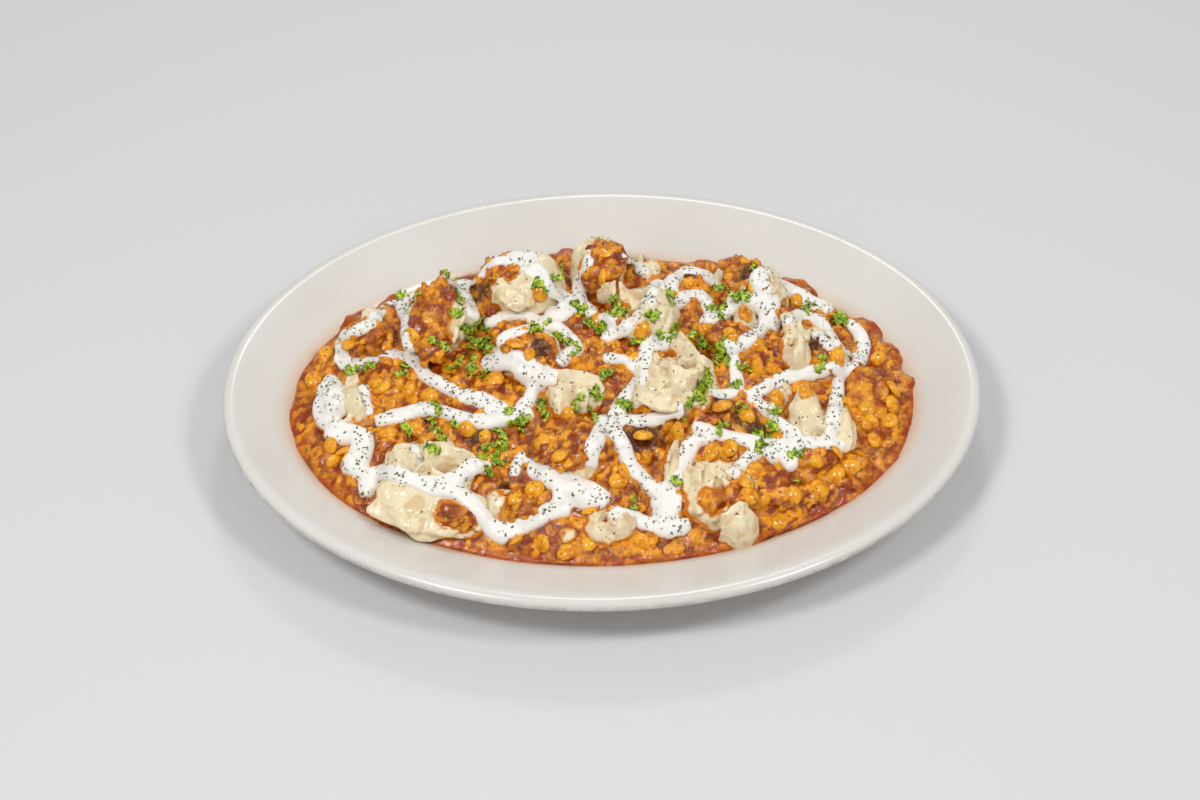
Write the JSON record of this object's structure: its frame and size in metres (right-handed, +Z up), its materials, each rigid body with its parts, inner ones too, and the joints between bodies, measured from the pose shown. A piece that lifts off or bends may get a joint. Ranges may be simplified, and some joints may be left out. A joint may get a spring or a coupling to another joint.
{
  "type": "mantu dumplings on an oval platter",
  "caption": "Deep oval platter of mantu: open-topped steamed dumplings in a tomato, split pea and minced meat stew, under a yogurt drizzle, dried mint and chopped parsley.",
  "frame": {"origin": "centre of the platter's foot, on the table: the bottom centre of the part's box", "axes": "+X along the platter's long axis, to the right in the picture; +Y to the platter's far side; +Z up"},
  "size_m": [0.33, 0.24, 0.0507],
  "materials": {
    "glazed_china": "glossy warm white glaze",
    "split_pea_stew": "wet tomato stew with split peas and minced meat",
    "steamed_dough": "satin steamed dough"
  },
  "bodies": {
    "root": {"platter": "glazed_china", "stew": "split_pea_stew", "mantu_front_left": "steamed_dough", "mantu_left": "steamed_dough", "mantu_left_back": "steamed_dough", "mantu_back_left": "steamed_dough", "mantu_back": "steamed_dough", "mantu_back_middle": "steamed_dough", "mantu_middle_left": "steamed_dough", "mantu_centre_left": "steamed_dough", "mantu_back_right": "steamed_dough", "mantu_centre": "steamed_dough", "mantu_right_back": "steamed_dough", "mantu_right_middle": "steamed_dough", "mantu_right": "steamed_dough", "mantu_right_front": "steamed_dough", "mantu_front_right": "steamed_dough", "mantu_front": "steamed_dough", "mantu_front_middle": "steamed_dough", "mantu_middle": "steamed_dough"}
  },
  "joints": []
}
